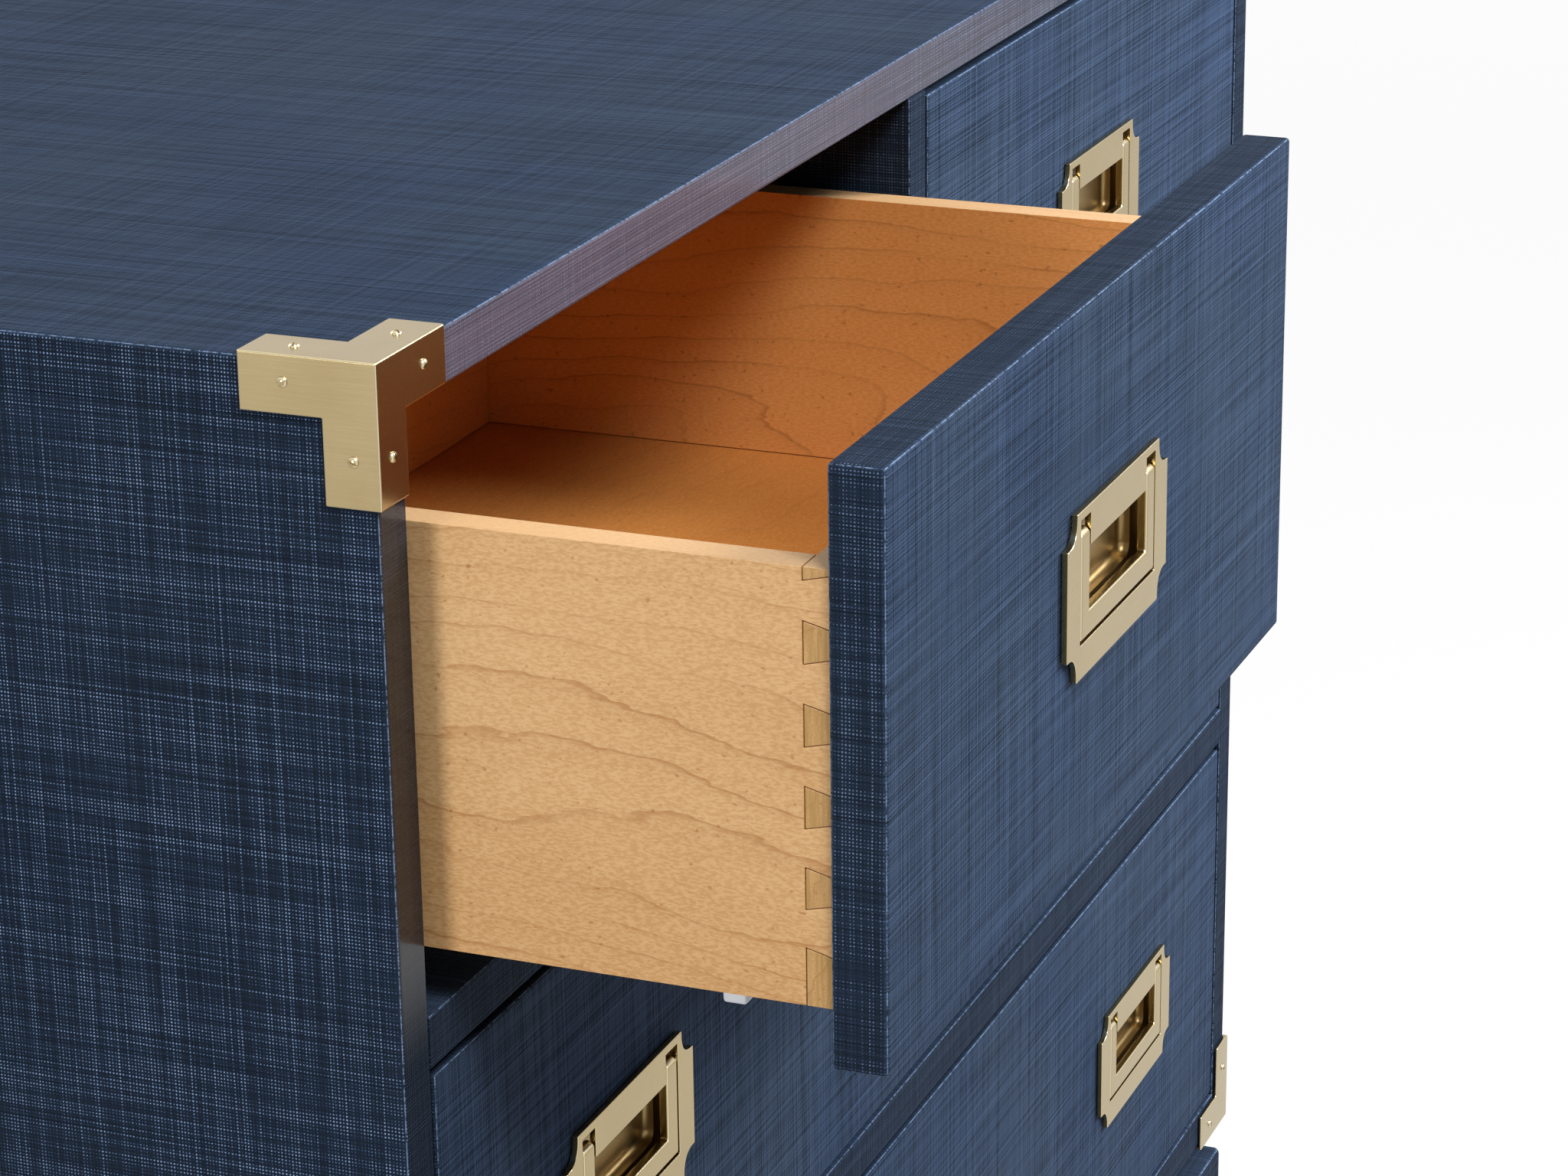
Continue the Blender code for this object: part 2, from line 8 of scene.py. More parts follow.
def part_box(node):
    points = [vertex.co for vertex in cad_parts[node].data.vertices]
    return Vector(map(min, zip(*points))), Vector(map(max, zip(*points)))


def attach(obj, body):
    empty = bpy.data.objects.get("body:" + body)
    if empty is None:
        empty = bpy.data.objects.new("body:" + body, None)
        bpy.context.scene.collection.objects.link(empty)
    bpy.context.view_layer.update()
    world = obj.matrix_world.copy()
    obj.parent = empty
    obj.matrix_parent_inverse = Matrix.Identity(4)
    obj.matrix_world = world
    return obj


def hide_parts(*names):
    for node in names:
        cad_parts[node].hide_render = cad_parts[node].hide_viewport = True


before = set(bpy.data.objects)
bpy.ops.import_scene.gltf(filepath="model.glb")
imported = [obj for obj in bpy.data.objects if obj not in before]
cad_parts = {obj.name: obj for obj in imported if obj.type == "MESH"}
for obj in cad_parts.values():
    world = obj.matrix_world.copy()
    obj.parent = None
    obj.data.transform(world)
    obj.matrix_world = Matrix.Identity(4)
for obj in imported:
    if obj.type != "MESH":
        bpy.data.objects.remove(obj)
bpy.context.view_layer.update()        # nodes of the imported chest
dice = random.Random(7)
print("chest frame loaded:", len(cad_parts), "nodes")


class Wire:      # a shader socket that takes part in Python sums
    def __init__(self, tree, socket):
        self.tree = tree
        self.socket = socket

    def node(self, kind, settings=None, sockets=None, out=0):
        made = self.tree.nodes.new(kind)
        for key, value in (settings or {}).items():
            setattr(made, key, value)
        for key, value in (sockets or {}).items():
            if isinstance(value, Wire):
                self.tree.links.new(value.socket, made.inputs[key])
            else:
                made.inputs[key].default_value = value
        return Wire(self.tree, made.outputs[out])

    def other(self, out):      # another output of the same node
        return Wire(self.tree, self.socket.node.outputs[out])

    def math(self, operation, first, second=0.0):
        return self.node("ShaderNodeMath", {"operation": operation}, {0: first, 1: second})

    def __add__(self, other):
        return self.math("ADD", self, other)

    def __radd__(self, other):
        return self.math("ADD", other, self)

    def __sub__(self, other):
        return self.math("SUBTRACT", self, other)

    def __rsub__(self, other):
        return self.math("SUBTRACT", other, self)

    def __mul__(self, other):
        return self.math("MULTIPLY", self, other)

    def __rmul__(self, other):
        return self.math("MULTIPLY", other, self)

    def largest(self, other):
        return self.math("MAXIMUM", self, other)

    def sine(self):
        return self.math("SINE", self)

    def fraction(self):
        return self.math("FRACT", self)

    def smooth(self, low, high):
        return self.node("ShaderNodeMapRange", {"interpolation_type": "SMOOTHSTEP"},
                         {"Value": self, "From Min": low, "From Max": high})

    def tint(self, first, second):      # self is the share of the second colour
        return self.node("ShaderNodeMix", {"data_type": "RGBA"}, {0: self, 6: first, 7: second}, out=2)

    def vector(self, operation, other=(0, 0, 0), out=0):
        return self.node("ShaderNodeVectorMath", {"operation": operation}, {0: self, 1: other}, out)

    def dot(self, other):
        return self.vector("DOT_PRODUCT", other, "Value")

    def split(self):      # the x, y and z of a vector
        first = self.node("ShaderNodeSeparateXYZ", {}, {0: self})
        return first, first.other(1), first.other(2)

    def noise(self, scale, detail, roughness, distortion=0.0):
        return self.node("ShaderNodeTexNoise", {}, {
            "Vector": self.vector("MULTIPLY", scale), "Scale": 1.0, "Detail": detail,
            "Roughness": roughness, "Distortion": distortion})

    def bump(self, distance, strength):      # self is the height
        return self.node("ShaderNodeBump", {}, {
            "Strength": strength, "Distance": distance, "Height": self})


def startFinish(name):
    finish = bpy.data.materials.new(name)
    finish.use_nodes = True
    tree = finish.node_tree
    coords = tree.nodes.new("ShaderNodeTexCoord")
    place = Wire(tree, coords.outputs["Object"])
    facing = Wire(tree, coords.outputs["Normal"])
    return finish, tree.nodes["Principled BSDF"], place, facing


def feed(shader, sockets):
    for key, value in sockets.items():
        if isinstance(value, Wire):
            value.tree.links.new(value.socket, shader.inputs[key])
        else:
            shader.inputs[key].default_value = value


def splitFacing(facing):      # how far a surface faces along x, y and z, 0 to 1 each
    return facing.vector("ABSOLUTE").split()


def edgeShare(facing, low, high):      # 1 on the rounded edges of a board, 0 on its flat faces
    sideX, sideY, sideZ = splitFacing(facing)
    return (1.0 - sideX.largest(sideY).largest(sideZ)).smooth(low, high)


# navy linen: long uneven threads run two ways on every face, with painted glints where thick ones cross
# and a painted highlight along the rounded edges. Each kind of thread has its scale across and along, detail
# and roughness
linen = {
    "deep": (0.009, 0.013, 0.021, 1), "navy": (0.060, 0.101, 0.196, 1), "slate": (0.066, 0.105, 0.182, 1),
    "fleck": (0.058, 0.108, 0.220, 1), "glint": (0.34, 0.47, 0.70, 1), "rubbed": (0.25, 0.35, 0.54, 1),
    # bloom is the colour of a painted sheen on the front edge of the top
    "bloom": (0.158, 0.150, 0.218, 1), "amber": (1.0, 0.62, 0.40, 1), "pull": (1.0, 0.55, 1.0),
    "bend": (60, 12, 1.0, 0.5), "slub": (820, 9, 2.0, 0.6), "fine": (1500, 7, 1.0, 0.5),
    "coarse": (560, 5, 1.0, 0.5), "pitch": 0.0013, "wander": 7.0, "rubShare": 0.85,
    "roughness": 0.44, "specular": 0.005, "coatRoughness": 0.16, "weaveRise": 0.0004, "weaveDepth": 0.45,
    "lacquerFoot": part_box("top_left_left_side")[0].z + 0.01, "lacquerFade": 0.05,
}
# for faces along x, y and z: painted light and shade, lighter on the faces the lamps light most, and how much
# painted glint the crossings get;
# then how much amber-tinted lacquer and how much painted sheen the front edge has. The five looks are lit and
# shaded copies of one linen
linenLooks = {
    "topLinen": {"tones": (0.10, 0.7, 0.51), "shine": (0.9, 0.9, 0.12), "lacquer": 0.35, "bloom": 0.8},
    "leftLinen": {"tones": (0.14, 0.20, 0.56), "shine": (0.95, 0.15, 0.2), "lacquer": 0.6, "bloom": 0.0},
    "rightLinen": {"tones": (0.14, 0.24, 0.56), "shine": (0.95, 0.15, 0.2), "lacquer": 0.0, "bloom": 0.0},
    "caseLinen": {"tones": (0.16, 0.32, 0.60), "shine": (0.4, 0.2, 0.2), "lacquer": 0.0, "bloom": 0.0},
    "frontLinen": {"tones": (0.19, 0.88, 0.25), "shine": (0.5, 0.10, 0.2), "lacquer": 0.0, "bloom": 0.0},
}


def linenFinish(name):
    look = linenLooks[name]
    finish, shader, place, facing = startFinish(name)
    front = (0.0 - facing.split()[1]).smooth(0.6, 0.95)      # 1 where a face looks to the front
    weave, grid, thick, tone, paintedGlintShare = 0.0, 1.0, 0.0, 0.0, 0.0
    for number, side in enumerate(splitFacing(facing)):
        axis = [1.0 if number == i else 0.0 for i in range(3)]

        def threads(kind):
            across, along, detail, roughness = linen[kind]
            return place.noise([across * a + along * (1 - a) for a in axis], detail, roughness)

        count = place.dot([a * 2 * math.pi / linen["pitch"] for a in axis])
        rib = (count + threads("bend") * linen["wander"]).sine() * 0.5 + 0.5
        slub = threads("slub").smooth(0.30, 0.72)
        strand = threads("fine") * 0.85 + threads("coarse") * 0.15
        weave = weave + (strand - 0.5) * (1.0 - side) * linen["pull"][number]
        grid = grid * rib.largest(side)
        thick = thick + slub * (1.0 - side) * 0.5
        # painted light and shade: each facing gets its own lightness, so top, front and sides read as
        # differently lit
        tone = tone + side * look["tones"][number]
        paintedGlintShare = paintedGlintShare + side * look["shine"][number]
    weave = (weave * 0.5 + 0.5).smooth(0.27, 0.73)
    cloud = place.noise((9, 9, 9), 3.0, 0.5)
    dye = cloud.smooth(0.35, 0.65).tint(linen["navy"], linen["slate"])
    cloth = ((weave * 1.05 + cloud * 0.15 - 0.07) * tone).tint(linen["deep"], dye)
    # painted highlights: blue flecks and pale glints where thick threads cross, in patches, set per facing
    patchy = (place.noise((34, 34, 34), 3.0, 0.6).smooth(0.06, 0.78) * 0.4 + 0.5) * paintedGlintShare
    crossing = grid * thick
    withPaintedFlecks = (crossing.smooth(0.06, 0.48) * patchy).tint(cloth, linen["fleck"])
    paintedSpecks = (crossing * place.noise((1500, 1500, 1500), 1.0, 0.5)).smooth(0.15, 0.36)
    glinting = (paintedSpecks * patchy).tint(withPaintedFlecks, linen["glint"])
    placeX, placeY, placeZ = place.split()
    if look["bloom"]:      # painted sheen: the front edge of the top is made paler, most towards its left end
        streaks = place.noise((8, 900, 900), 2.0, 0.6).smooth(0.25, 0.75)
        paintedSheenShare = front * (streaks * 0.6 + 0.4) * (1.0 - placeX.smooth(-0.35, 0.3) * 0.85)
        glinting = (paintedSheenShare * look["bloom"]).tint(glinting, linen["bloom"])
    coated = placeZ.smooth(linen["lacquerFoot"] - linen["lacquerFade"], linen["lacquerFoot"])
    # painted highlight: a pale broken line on the rounded edges
    edgeHighlightMask = edgeShare(facing, 0.15, 0.29) * place.noise((420, 420, 420), 3.0, 0.7).smooth(0.36, 0.60)
    feed(shader, {
        "Base Color": (edgeHighlightMask * linen["rubShare"]).tint(glinting, linen["rubbed"]),
        "Roughness": linen["roughness"] + (0.5 - weave) * 0.2,
        "Specular IOR Level": linen["specular"],
        # painted reflection: the amber coat tint warms the front edges as if they reflected the maple drawer;
        # the coat fades out below the drawer sides
        "Coat Weight": front * coated * look["lacquer"],
        "Coat Roughness": linen["coatRoughness"],
        "Coat Tint": linen["amber"],
        "Normal": (weave * 0.6 + grid).bump(linen["weaveRise"], linen["weaveDepth"]),
    })
    return finish


# brass: brushed along one axis, with a painted highlight on the rounded edges
brass = {
    # pan is a darker brass: painted shade for the pan let in behind the bail
    "body": (0.440, 0.350, 0.190, 1), "plate": (0.430, 0.330, 0.150, 1), "pan": (0.30, 0.205, 0.085, 1),
    # edge is the colour of the painted highlight on the rounded edges
    "aged": (0.36, 0.26, 0.125, 1), "edge": (0.80, 0.73, 0.54, 1),
    "roughness": 0.25, "brushShare": 0.18, "polish": 0.08, "brushRise": 0.0002, "brushDepth": 0.09,
}


def brassFinish(name, tone, brushing, aging, rubbed, dull=0.0):
    finish, shader, place, facing = startFinish(name)
    strokes = place.noise(brushing, 3.0, 0.6)
    patches = place.noise((26, 26, 26), 3.0, 0.55)
    # painted highlight: the rounded edges get the pale edge colour
    edgeHighlightMask = edgeShare(facing, 0.06, 0.25) * rubbed
    base = (patches.smooth(0.38, 0.72) * aging + strokes * 0.2).tint(brass[tone], brass["aged"])
    brushed = brass["roughness"] + dull + (strokes - 0.5) * brass["brushShare"]
    feed(shader, {
        "Base Color": edgeHighlightMask.tint(base, brass["edge"]),
        "Metallic": 1.0,
        "Roughness": brushed - edgeHighlightMask * brass["polish"],
        "Normal": strokes.bump(brass["brushRise"], brass["brushDepth"]),
    })
    return finish


# maple: thin contour lines along the grain, short flecks and pin marks, end grain where the board is cut,
# a painted light on faces that look up, and painted shade with warm bounced light, a deeper colour, on the
# faces that look into the drawer
maple = {
    "pale": (0.72, 0.455, 0.222, 1), "warm": (0.54, 0.290, 0.112, 1), "line": (0.36, 0.14, 0.035, 1),
    # honey, amber and toffee are painted shade and bounced light for the insides of the drawer
    "honey": (0.81, 0.405, 0.140, 1), "amber": (0.69, 0.285, 0.072, 1), "toffee": (0.56, 0.205, 0.045, 1),
    # top is the colour of the painted light on faces that look up
    "cut": (0.40, 0.235, 0.075, 1), "top": (0.74, 0.48, 0.27, 1),
    "rings": 72, "swirl": 10.0, "roughness": 0.42, "specular": 0.14, "grainRise": 0.0003, "grainDepth": 0.15,
}


def mapleFinish(name, along, seed, inside, inner=("honey", "amber"), paintedTopLight=0.45, lineShare=0.62):
    finish, shader, place, facing = startFinish(name)
    long = {"x": (1, 0, 0), "y": (0, 1, 0), "z": (0, 0, 1)}[along]
    across = tuple(1 - v for v in long)
    moved = place.vector("ADD", (seed, seed * 0.7, seed * 0.3))

    def grain(run, side, detail, roughness, distortion=0.0):
        scale = tuple(run * l + side * a for l, a in zip(long, across))
        return moved.noise(scale, detail, roughness, distortion)

    height = moved.dot(tuple(maple["rings"] * a for a in across))
    years = height + grain(2.2, 7, 3.0, 0.5, 0.3) * maple["swirl"] + grain(40, 160, 2.0, 0.6) * 0.4
    rings = years.fraction()
    ending = 1.0 - rings.smooth(0.985, 1.0)      # slow rise, sharp end
    lines = (rings.smooth(0.90, 0.985) * 0.75 + rings.smooth(0.55, 0.98) * 0.2) * ending
    lines = lines * (grain(9, 30, 2.0, 0.5).smooth(0.28, 0.62) * 0.75 + 0.25)
    fibres = grain(420, 1300, 2.0, 0.65)
    pins = grain(300, 420, 1.0, 0.5).smooth(0.685, 0.765)
    blush = grain(5, 14, 3.0, 0.55).smooth(0.25, 0.75)
    sideX, sideY, sideZ = splitFacing(facing)
    cutEnd = {"x": sideX, "y": sideY, "z": sideZ}[along].smooth(0.5, 0.8)
    stripes = moved.noise((700, 700, 40), 2.0, 0.6).smooth(0.35, 0.65)
    shade = blush * 0.45 + fibres.smooth(0.36, 0.64) * 0.55
    # painted shade and bounced light: faces that look into the drawer get deeper, warmer colours
    insidePaintedShade = facing.dot(inside).smooth(0.5, 0.85)      # 1 on the face that looks into the drawer
    wood = insidePaintedShade.tint(shade.tint(maple["pale"], maple["warm"]),
                       shade.tint(maple[inner[0]], maple[inner[1]]))
    lined = (lines * lineShare + pins * 0.5).tint(wood, maple["line"])
    # painted light: faces that look up are made paler
    withTopLight = (sideZ.smooth(0.6, 0.95) * paintedTopLight).tint(lined, maple["top"])
    ended = (cutEnd * (0.30 + stripes * 0.5)).tint(withTopLight, maple["cut"])
    feed(shader, {
        "Base Color": ended,
        "Roughness": maple["roughness"] + (fibres - 0.5) * 0.25,
        "Specular IOR Level": maple["specular"],
        "Normal": (fibres + pins * 0.5).bump(maple["grainRise"], maple["grainDepth"]),
    })
    return finish


# small metal, plastic and the painted back board
zinc = {"bright": (0.66, 0.68, 0.70, 1), "dull": (0.50, 0.53, 0.56, 1), "roughness": 0.3}
plastic = {"white": (0.80, 0.82, 0.86, 1), "grey": (0.66, 0.69, 0.74, 1), "roughness": 0.36}
board = {"navy": (0.016, 0.025, 0.046, 1), "scuffed": (0.032, 0.048, 0.082, 1),
         "roughness": 0.6, "specular": 0.04}


def zincFinish():
    finish, shader, place, facing = startFinish("zincSteel")
    rolled = place.noise((900, 40, 900), 2.0, 0.6)
    bloom = place.noise((120, 120, 120), 3.0, 0.6).smooth(0.35, 0.7)
    feed(shader, {
        "Base Color": (bloom * 0.7).tint(zinc["bright"], zinc["dull"]),
        "Metallic": 1.0,
        "Roughness": zinc["roughness"] + rolled * 0.18,
        "Normal": rolled.bump(0.0002, 0.12),
    })
    return finish


def plasticFinish():
    finish, shader, place, facing = startFinish("whitePlastic")
    grainy = place.noise((1500, 1500, 1500), 2.0, 0.6)
    shade = place.noise((60, 60, 60), 2.0, 0.5).smooth(0.3, 0.7)
    feed(shader, {
        "Base Color": (shade * 0.6).tint(plastic["white"], plastic["grey"]),
        "Roughness": plastic["roughness"] + grainy * 0.15,
        "Normal": grainy.bump(0.0001, 0.2),
    })
    return finish


def boardFinish():
    finish, shader, place, facing = startFinish("navyBoard")
    fibre = place.noise((6, 6, 160), 4.0, 0.7)
    scuff = place.noise((40, 40, 40), 4.0, 0.6).smooth(0.45, 0.75)
    feed(shader, {
        "Base Color": (fibre * 0.6 + scuff * 0.2).tint(board["navy"], board["scuffed"]),
        "Roughness": board["roughness"] + scuff * 0.2,
        "Specular IOR Level": board["specular"],
        "Normal": fibre.bump(0.0004, 0.3),
    })
    return finish


topLinen = linenFinish("topLinen")
leftLinen = linenFinish("leftLinen")
rightLinen = linenFinish("rightLinen")
caseLinen = linenFinish("caseLinen")
frontLinen = linenFinish("frontLinen")
cornerBrass = brassFinish("cornerBrass", "body", (2600, 45, 2600), 0.35, 0.7)
pullBrass = brassFinish("pullBrass", "plate", (45, 2600, 2600), 0.25, 0.7)
# painted shade: the pan in the pocket gets the darker pan brass
panBrass = brassFinish("panBrass", "pan", (90, 900, 900), 0.2, 0.0, 0.12)
leftMaple = mapleFinish("leftMaple", "y", 0.0, (1, 0, 0))
rightMaple = mapleFinish("rightMaple", "y", 1.9, (-1, 0, 0))
frontMaple = mapleFinish("frontMaple", "x", 3.7, (0, 1, 0))
backMaple = mapleFinish("backMaple", "x", 5.3, (0, -1, 0), lineShare=0.3)
# the drawer bottom gets the deepest painted shade colours
bottomMaple = mapleFinish("bottomMaple", "x", 5.3, (0, 0, 1), ("amber", "toffee"), 0.0, 0.3)
zincSteel = zincFinish()
whitePlastic = plasticFinish()
navyBoard = boardFinish()
print("finishes made")


flatAngle = math.radians(1)        # faces that meet flatter than this are joined
bevelAngle = math.radians(40)      # edges sharper than this are eased
smoothAngle = math.radians(42)     # shading breaks at edges sharper than this
sameSpot = 0.00002                 # points nearer than this are one point
hair = 0.0001                      # slack when parts are picked by their place


def clearSelection():
    if bpy.context.object and bpy.context.object.mode != "OBJECT":
        bpy.ops.object.mode_set(mode="OBJECT")
    bpy.ops.object.select_all(action="DESELECT")


def activate(piece):
    clearSelection()
    piece.select_set(True)
    bpy.context.view_layer.objects.active = piece


def setPlace(piece, name):      # the place goes into the mesh, the object stays at the origin
    piece.name = name
    piece.data.name = name
    activate(piece)
    bpy.ops.object.transform_apply(location=True, rotation=True, scale=True)
    return piece


def addBlock(name, low, high):
    clearSelection()
    bpy.ops.mesh.primitive_cube_add(size=1, location=(Vector(low) + Vector(high)) / 2,
                                    scale=Vector(high) - Vector(low))
    return setPlace(bpy.context.object, name)


def middleOf(part):
    return sum((vert.co for vert in part.verts), Vector()) / len(part.verts)


def lengthOf(edge):
    return (edge.verts[1].co - edge.verts[0].co).length


def pick(piece, kind, test):      # edit mode, with the parts that pass the test selected
    activate(piece)
    bpy.ops.object.mode_set(mode="EDIT")
    bpy.ops.mesh.select_mode(type=kind)
    bpy.ops.mesh.select_all(action="DESELECT")
    mesh = bmesh.from_edit_mesh(piece.data)
    parts = {"VERT": mesh.verts, "EDGE": mesh.edges, "FACE": mesh.faces}[kind]
    for part in parts:
        if test(part):
            part.select_set(True)
    mesh.select_flush_mode()
    bmesh.update_edit_mesh(piece.data)


def leaveEdit():
    bpy.ops.object.mode_set(mode="OBJECT")


def bevelEdges(piece, test, width, segments):
    pick(piece, "EDGE", test)
    bpy.ops.mesh.bevel(affect="EDGES", offset=width, segments=segments, profile=0.5)
    leaveEdit()


def applyModifier(piece, kind, settings):
    activate(piece)
    modifier = piece.modifiers.new(kind, kind)
    for key, value in settings.items():
        setattr(modifier, key, value)
    bpy.ops.object.modifier_apply(modifier=modifier.name)


def cutAway(piece, cutter):
    applyModifier(piece, "BOOLEAN", {"operation": "DIFFERENCE", "object": cutter, "solver": "EXACT"})
    bpy.data.objects.remove(cutter)


def copyPiece(piece, name, move):      # each copy has its own mesh, with the move in it
    twin = bpy.data.objects.new(name, piece.data.copy())
    twin.data.name = name
    bpy.context.scene.collection.objects.link(twin)
    twin.data.transform(move)
    if move.determinant() < 0:
        twin.data.flip_normals()
    return twin


def joinPieces(name, pieces):
    clearSelection()
    for piece in pieces:
        piece.select_set(True)
    bpy.context.view_layer.objects.active = pieces[0]
    bpy.ops.object.join()
    pieces[0].name = name
    pieces[0].data.name = name
    return pieces[0]


def easeEdges(piece, width, segments):
    applyModifier(piece, "BEVEL", {"width": width, "segments": segments, "limit_method": "ANGLE",
                                   "angle_limit": bevelAngle, "use_clamp_overlap": True})


def finishPiece(piece, finish, body, nodes=()):
    activate(piece)
    if finish:
        piece.data.materials.clear()
        piece.data.materials.append(finish)
    bpy.ops.object.shade_smooth_by_angle(angle=smoothAngle)
    applyModifier(piece, "WEIGHTED_NORMAL", {"weight": 80, "keep_sharp": True})
    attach(piece, body)
    if nodes:
        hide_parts(*nodes)
    return piece


def refineNode(node, name, edge):      # a merged copy of a CAD node, with its edges eased
    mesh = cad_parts[node].data.copy()
    mesh.name = name
    mesh.transform(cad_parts[node].matrix_world)
    piece = bpy.data.objects.new(name, mesh)
    bpy.context.scene.collection.objects.link(piece)
    pick(piece, "FACE", lambda face: True)
    bpy.ops.mesh.customdata_custom_splitnormals_clear()
    bpy.ops.mesh.remove_doubles(threshold=sameSpot)
    bpy.ops.mesh.dissolve_limited(angle_limit=flatAngle)
    leaveEdit()
    easeEdges(piece, edge, 2)
    return piece


# case: wrapped boards with eased outer edges and tight seams
caseSizes = {"edge": 0.0015, "segments": 3, "near": 0.0004, "longEdge": 0.1, "setBack": 0.002,
             "plinthEdge": 0.0008}
caseBoards = {"case_top": ("topBoard", topLinen), "case_bottom": ("bottomBoard", caseLinen),
              "case_left_side": ("leftSide", leftLinen), "case_right_side": ("rightSide", rightLinen)}
shelfBoards = {"upper_shelf": "upperShelf", "lower_shelf": "lowerShelf", "top_divider": "topDivider"}


def makeCase():
    boxes = [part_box(node) for node in caseBoards]
    low = Vector([min(box[0][i] for box in boxes) for i in range(3)])
    high = Vector([max(box[1][i] for box in boxes) for i in range(3)])

    def outerEdges(edge):
        middle = middleOf(edge)
        near = caseSizes["near"]
        hits = [min(abs(middle[i] - low[i]), abs(middle[i] - high[i])) < near for i in range(3)]
        onFront = abs(middle.y - low.y) < near and lengthOf(edge) > caseSizes["longEdge"]
        return sum(hits) >= 2 or onFront

    def shelfEdges(edge):
        onFront = abs(middleOf(edge).y - low.y) < caseSizes["setBack"]
        return onFront and lengthOf(edge) > caseSizes["longEdge"]

    for node, (name, finish) in caseBoards.items():
        board = addBlock(name, *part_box(node))
        bevelEdges(board, outerEdges, caseSizes["edge"], caseSizes["segments"])
        finishPiece(board, finish, "case", [node])
    for node, name in shelfBoards.items():
        board = addBlock(name, *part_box(node))
        bevelEdges(board, shelfEdges, caseSizes["edge"], caseSizes["segments"])
        finishPiece(board, caseLinen, "case", [node])
    plinth = refineNode("plinth_frame", "plinth", caseSizes["plinthEdge"])
    finishPiece(plinth, caseLinen, "case", ["plinth_frame"])
    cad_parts["case_back"].material_slots[0].material = navyBoard
    for node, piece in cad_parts.items():
        if node.startswith("runner_"):
            piece.material_slots[0].material = zincSteel
    print("case made")


# brass corners: three bent straps, each held by two domed screws on a face
cornerSizes = {"width": 0.0205, "thick": 0.002, "edge": 0.0008}
screwSizes = {"radius": 0.0020, "rise": 0.0013, "slot": 0.0006, "slotFoot": 0.45, "sink": 0.0001,
              "along": 0.034, "inset": 0.0095}


def makeCorner():
    low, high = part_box("corner_top_front_left")
    corner = addBlock("cornerModel", low, high)
    pick(corner, "FACE", lambda face: face.normal.x > 0.5 or face.normal.y > 0.5 or face.normal.z < -0.5)
    bpy.ops.mesh.delete(type="FACE")
    width = cornerSizes["width"]
    for place, turn in (((low.x + width, 0, 0), (1, 0, 0)), ((0, low.y + width, 0), (0, 1, 0)),
                        ((0, 0, high.z - width), (0, 0, 1))):
        bpy.ops.mesh.select_all(action="SELECT")
        bpy.ops.mesh.bisect(plane_co=place, plane_no=turn)
    leaveEdit()

    def inQuarter(face):
        middle = middleOf(face)
        past = [middle.x > low.x + width, middle.y > low.y + width, middle.z < high.z - width]
        return sum(past) >= 2

    pick(corner, "FACE", inQuarter)
    bpy.ops.mesh.delete(type="FACE")
    bpy.ops.mesh.select_all(action="SELECT")
    bpy.ops.mesh.dissolve_limited(angle_limit=flatAngle)
    leaveEdit()
    applyModifier(corner, "SOLIDIFY", {"thickness": cornerSizes["thick"], "offset": -1,
                                       "use_even_offset": True})
    easeEdges(corner, cornerSizes["edge"], 3)
    return corner


def makeScrew():      # a domed slotted head standing on z = 0
    radius = screwSizes["radius"]
    clearSelection()
    bpy.ops.mesh.primitive_uv_sphere_add(segments=20, ring_count=10, radius=radius)
    screw = setPlace(bpy.context.object, "screwModel")
    pick(screw, "FACE", lambda face: True)
    bpy.ops.mesh.bisect(plane_co=(0, 0, 0), plane_no=(0, 0, 1), clear_inner=True, use_fill=True)
    bpy.ops.mesh.select_all(action="SELECT")
    bpy.ops.transform.resize(value=(1, 1, screwSizes["rise"] / radius), center_override=(0, 0, 0))
    leaveEdit()
    half = screwSizes["slot"] / 2
    cutAway(screw, addBlock("slotCutter", (-2 * radius, -half, screwSizes["rise"] * screwSizes["slotFoot"]),
                            (2 * radius, half, 3 * radius)))
    return screw


def screwPlaces(low, high):      # spots on the three outer faces of the upper front left corner
    along, inset, sink = screwSizes["along"], screwSizes["inset"], screwSizes["sink"]
    near = Vector((low.x, low.y, high.z))
    spots = []
    for first, second in ((along, inset), (inset, along)):
        spots.append((near + Vector((first, second, -sink)), Matrix()))
        spots.append((near + Vector((first, sink, -second)), Matrix.Rotation(math.radians(90), 4, "X")))
        spots.append((near + Vector((sink, first, -second)), Matrix.Rotation(math.radians(-90), 4, "Y")))
    return spots


def makeCorners():
    model = makeCorner()
    screw = makeScrew()
    low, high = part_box("corner_top_front_left")
    middle = (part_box("case_top")[1].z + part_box("case_bottom")[0].z) / 2
    for level in ("top", "bottom"):
        for depth in ("front", "rear"):
            for hand in ("left", "right"):
                flip = Matrix.Diagonal((1 if hand == "left" else -1, 1 if depth == "front" else -1,
                                        1 if level == "top" else -1, 1))
                move = Matrix.Translation((0, 0, middle)) @ flip @ Matrix.Translation((0, 0, -middle))
                node = "corner_{}_{}_{}".format(level, depth, hand)
                title = level + depth.title() + hand.title()
                corner = copyPiece(model, title + "Corner", move)
                finishPiece(corner, cornerBrass, "case", [node])
                heads = []
                for spot, turn in screwPlaces(low, high):
                    spin = Matrix.Rotation(dice.uniform(0, math.pi), 4, "Z")
                    heads.append(copyPiece(screw, "head", move @ Matrix.Translation(spot) @ turn @ spin))
                finishPiece(joinPieces(title + "Screws", heads), cornerBrass, "case")
    bpy.data.objects.remove(model)
    bpy.data.objects.remove(screw)
    print("brass corners made")


